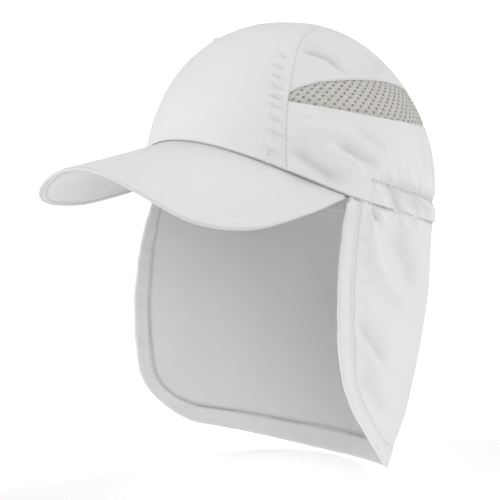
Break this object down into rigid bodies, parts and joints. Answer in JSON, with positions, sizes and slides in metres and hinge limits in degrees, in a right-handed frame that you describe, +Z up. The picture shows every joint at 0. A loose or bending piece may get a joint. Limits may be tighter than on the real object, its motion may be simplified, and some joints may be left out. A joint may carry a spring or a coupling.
{
  "type": "legionnaire cap",
  "caption": "Legionnaire cap: panelled crown with mesh side vents, curved peak, gathered elastic back and a neck flap.",
  "frame": {"origin": "centre of the head opening, where the cap sits on a head", "axes": "+Z up as worn, the wearer faces -Y, the wearer's left is +X; the head opening leans back 15.8 degrees"},
  "size_m": [0.1672, 0.2729, 0.2801],
  "materials": {
    "crown_cloth": "matte fine plain weave",
    "vent_mesh": "matte open knit",
    "peak_cloth": "matte fine plain weave over a board",
    "flap_cloth": "matte fine plain weave"
  },
  "bodies": {
    "root": {"crown_front": "crown_cloth", "crown_top": "crown_cloth", "crown_back": "crown_cloth", "vent_mesh_left": "vent_mesh", "vent_mesh_right": "vent_mesh", "back_casing": "crown_cloth", "peak_top": "peak_cloth", "peak_under": "peak_cloth", "neck_flap": "flap_cloth", "flap_hem": "flap_cloth"}
  },
  "joints": []
}
